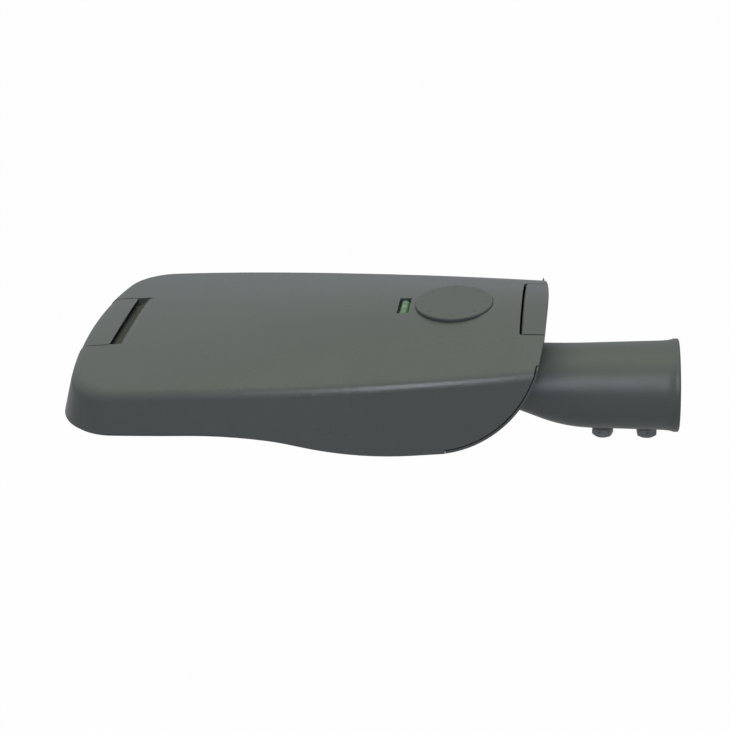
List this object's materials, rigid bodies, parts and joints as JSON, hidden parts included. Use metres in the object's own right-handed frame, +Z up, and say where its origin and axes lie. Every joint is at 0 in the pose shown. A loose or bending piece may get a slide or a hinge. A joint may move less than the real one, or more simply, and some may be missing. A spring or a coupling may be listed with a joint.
{
  "type": "led street light head",
  "caption": "Flat LED street light head with a hinged top cover, a nose latch, a blanking cap, a spirit level and a round spigot with clamp bolts for a pole.",
  "frame": {"origin": "centre of the spigot's mouth, on the axis of its bore", "axes": "+X along the bore out of the mouth towards the pole, the nose points to -X, +Z up, mirror plane at y = 0"},
  "size_m": [0.5156, 0.2496, 0.1263],
  "materials": {
    "cover_paint": "satin, fine-textured powder coat on cast aluminium",
    "latch_paint": "satin, fine-textured powder coat on cast aluminium",
    "housing_paint": "satin, fine-textured powder coat on cast aluminium",
    "spigot_paint": "satin, fine-textured powder coat on cast aluminium",
    "frame_paint": "satin powder coat on steel sheet",
    "silicone": "matt grey silicone",
    "stainless": "plain stainless steel",
    "zinc_bolt": "dull zinc-flake coat on steel",
    "zinc_washer": "dull zinc coat on spring steel",
    "zinc_sheet": "galvanised sheet",
    "cap_plastic": "grey moulded plastic in the cover's colour",
    "black_plastic": "black nylon",
    "level_liquid": "clear vial with green liquid",
    "board_white": "white solder mask on an aluminium board",
    "led_yellow": "yellow phosphor on a ceramic base",
    "lens_clear": "clear moulded acrylic",
    "toughened_glass": "clear flat toughened glass",
    "driver_white": "light grey moulded case",
    "surge_grey": "grey moulded case",
    "terminal_white": "white polyamide"
  },
  "bodies": {
    "base": {"lower_housing": "housing_paint", "spigot": "spigot_paint", "glass_frame": "frame_paint", "glass_gasket": "silicone", "spigot_gasket": "silicone", "keeper_leaf": "stainless", "keeper_screws": "stainless", "hinge_pin": "stainless", "pin_clips": "stainless", "board_screws": "stainless", "frame_screws": "stainless", "tray_screws": "stainless", "driver_screws": "stainless", "spigot_screws": "stainless", "clamp_bolts": "zinc_bolt", "spring_washers": "zinc_washer", "gear_tray": "zinc_sheet", "led_board": "board_white", "leds": "led_yellow", "lens_plate": "lens_clear", "front_glass": "toughened_glass", "led_driver": "driver_white", "surge_protector": "surge_grey", "terminal_block": "terminal_white", "cable_gland": "black_plastic", "gland_nut": "black_plastic", "vent_plug": "black_plastic"},
    "cover": {"top_cover": "cover_paint", "cover_gasket": "silicone", "latch_pin": "stainless", "latch_spring": "stainless", "socket_cap": "cap_plastic", "cap_seal": "silicone", "cap_nut": "black_plastic", "level_vial": "level_liquid", "level_holder": "black_plastic"},
    "latch": {"front_latch": "latch_paint"}
  },
  "joints": [
    {"name": "cover_hinge", "type": "hinge", "parent": "base", "child": "cover", "pos_m": [-0.1145, 0, 0.066], "axis": [0, 1, 0], "range_deg": [0, 95], "deforming": ["keeper_leaf"]},
    {"name": "latch_pivot", "type": "hinge", "parent": "cover", "child": "latch", "pos_m": [-0.504, 0, 0.0355], "axis": [0, -1, 0], "range_deg": [0, 35], "stiffness_Nm_per_rad": 0.15, "deforming": ["latch_spring"]}
  ]
}
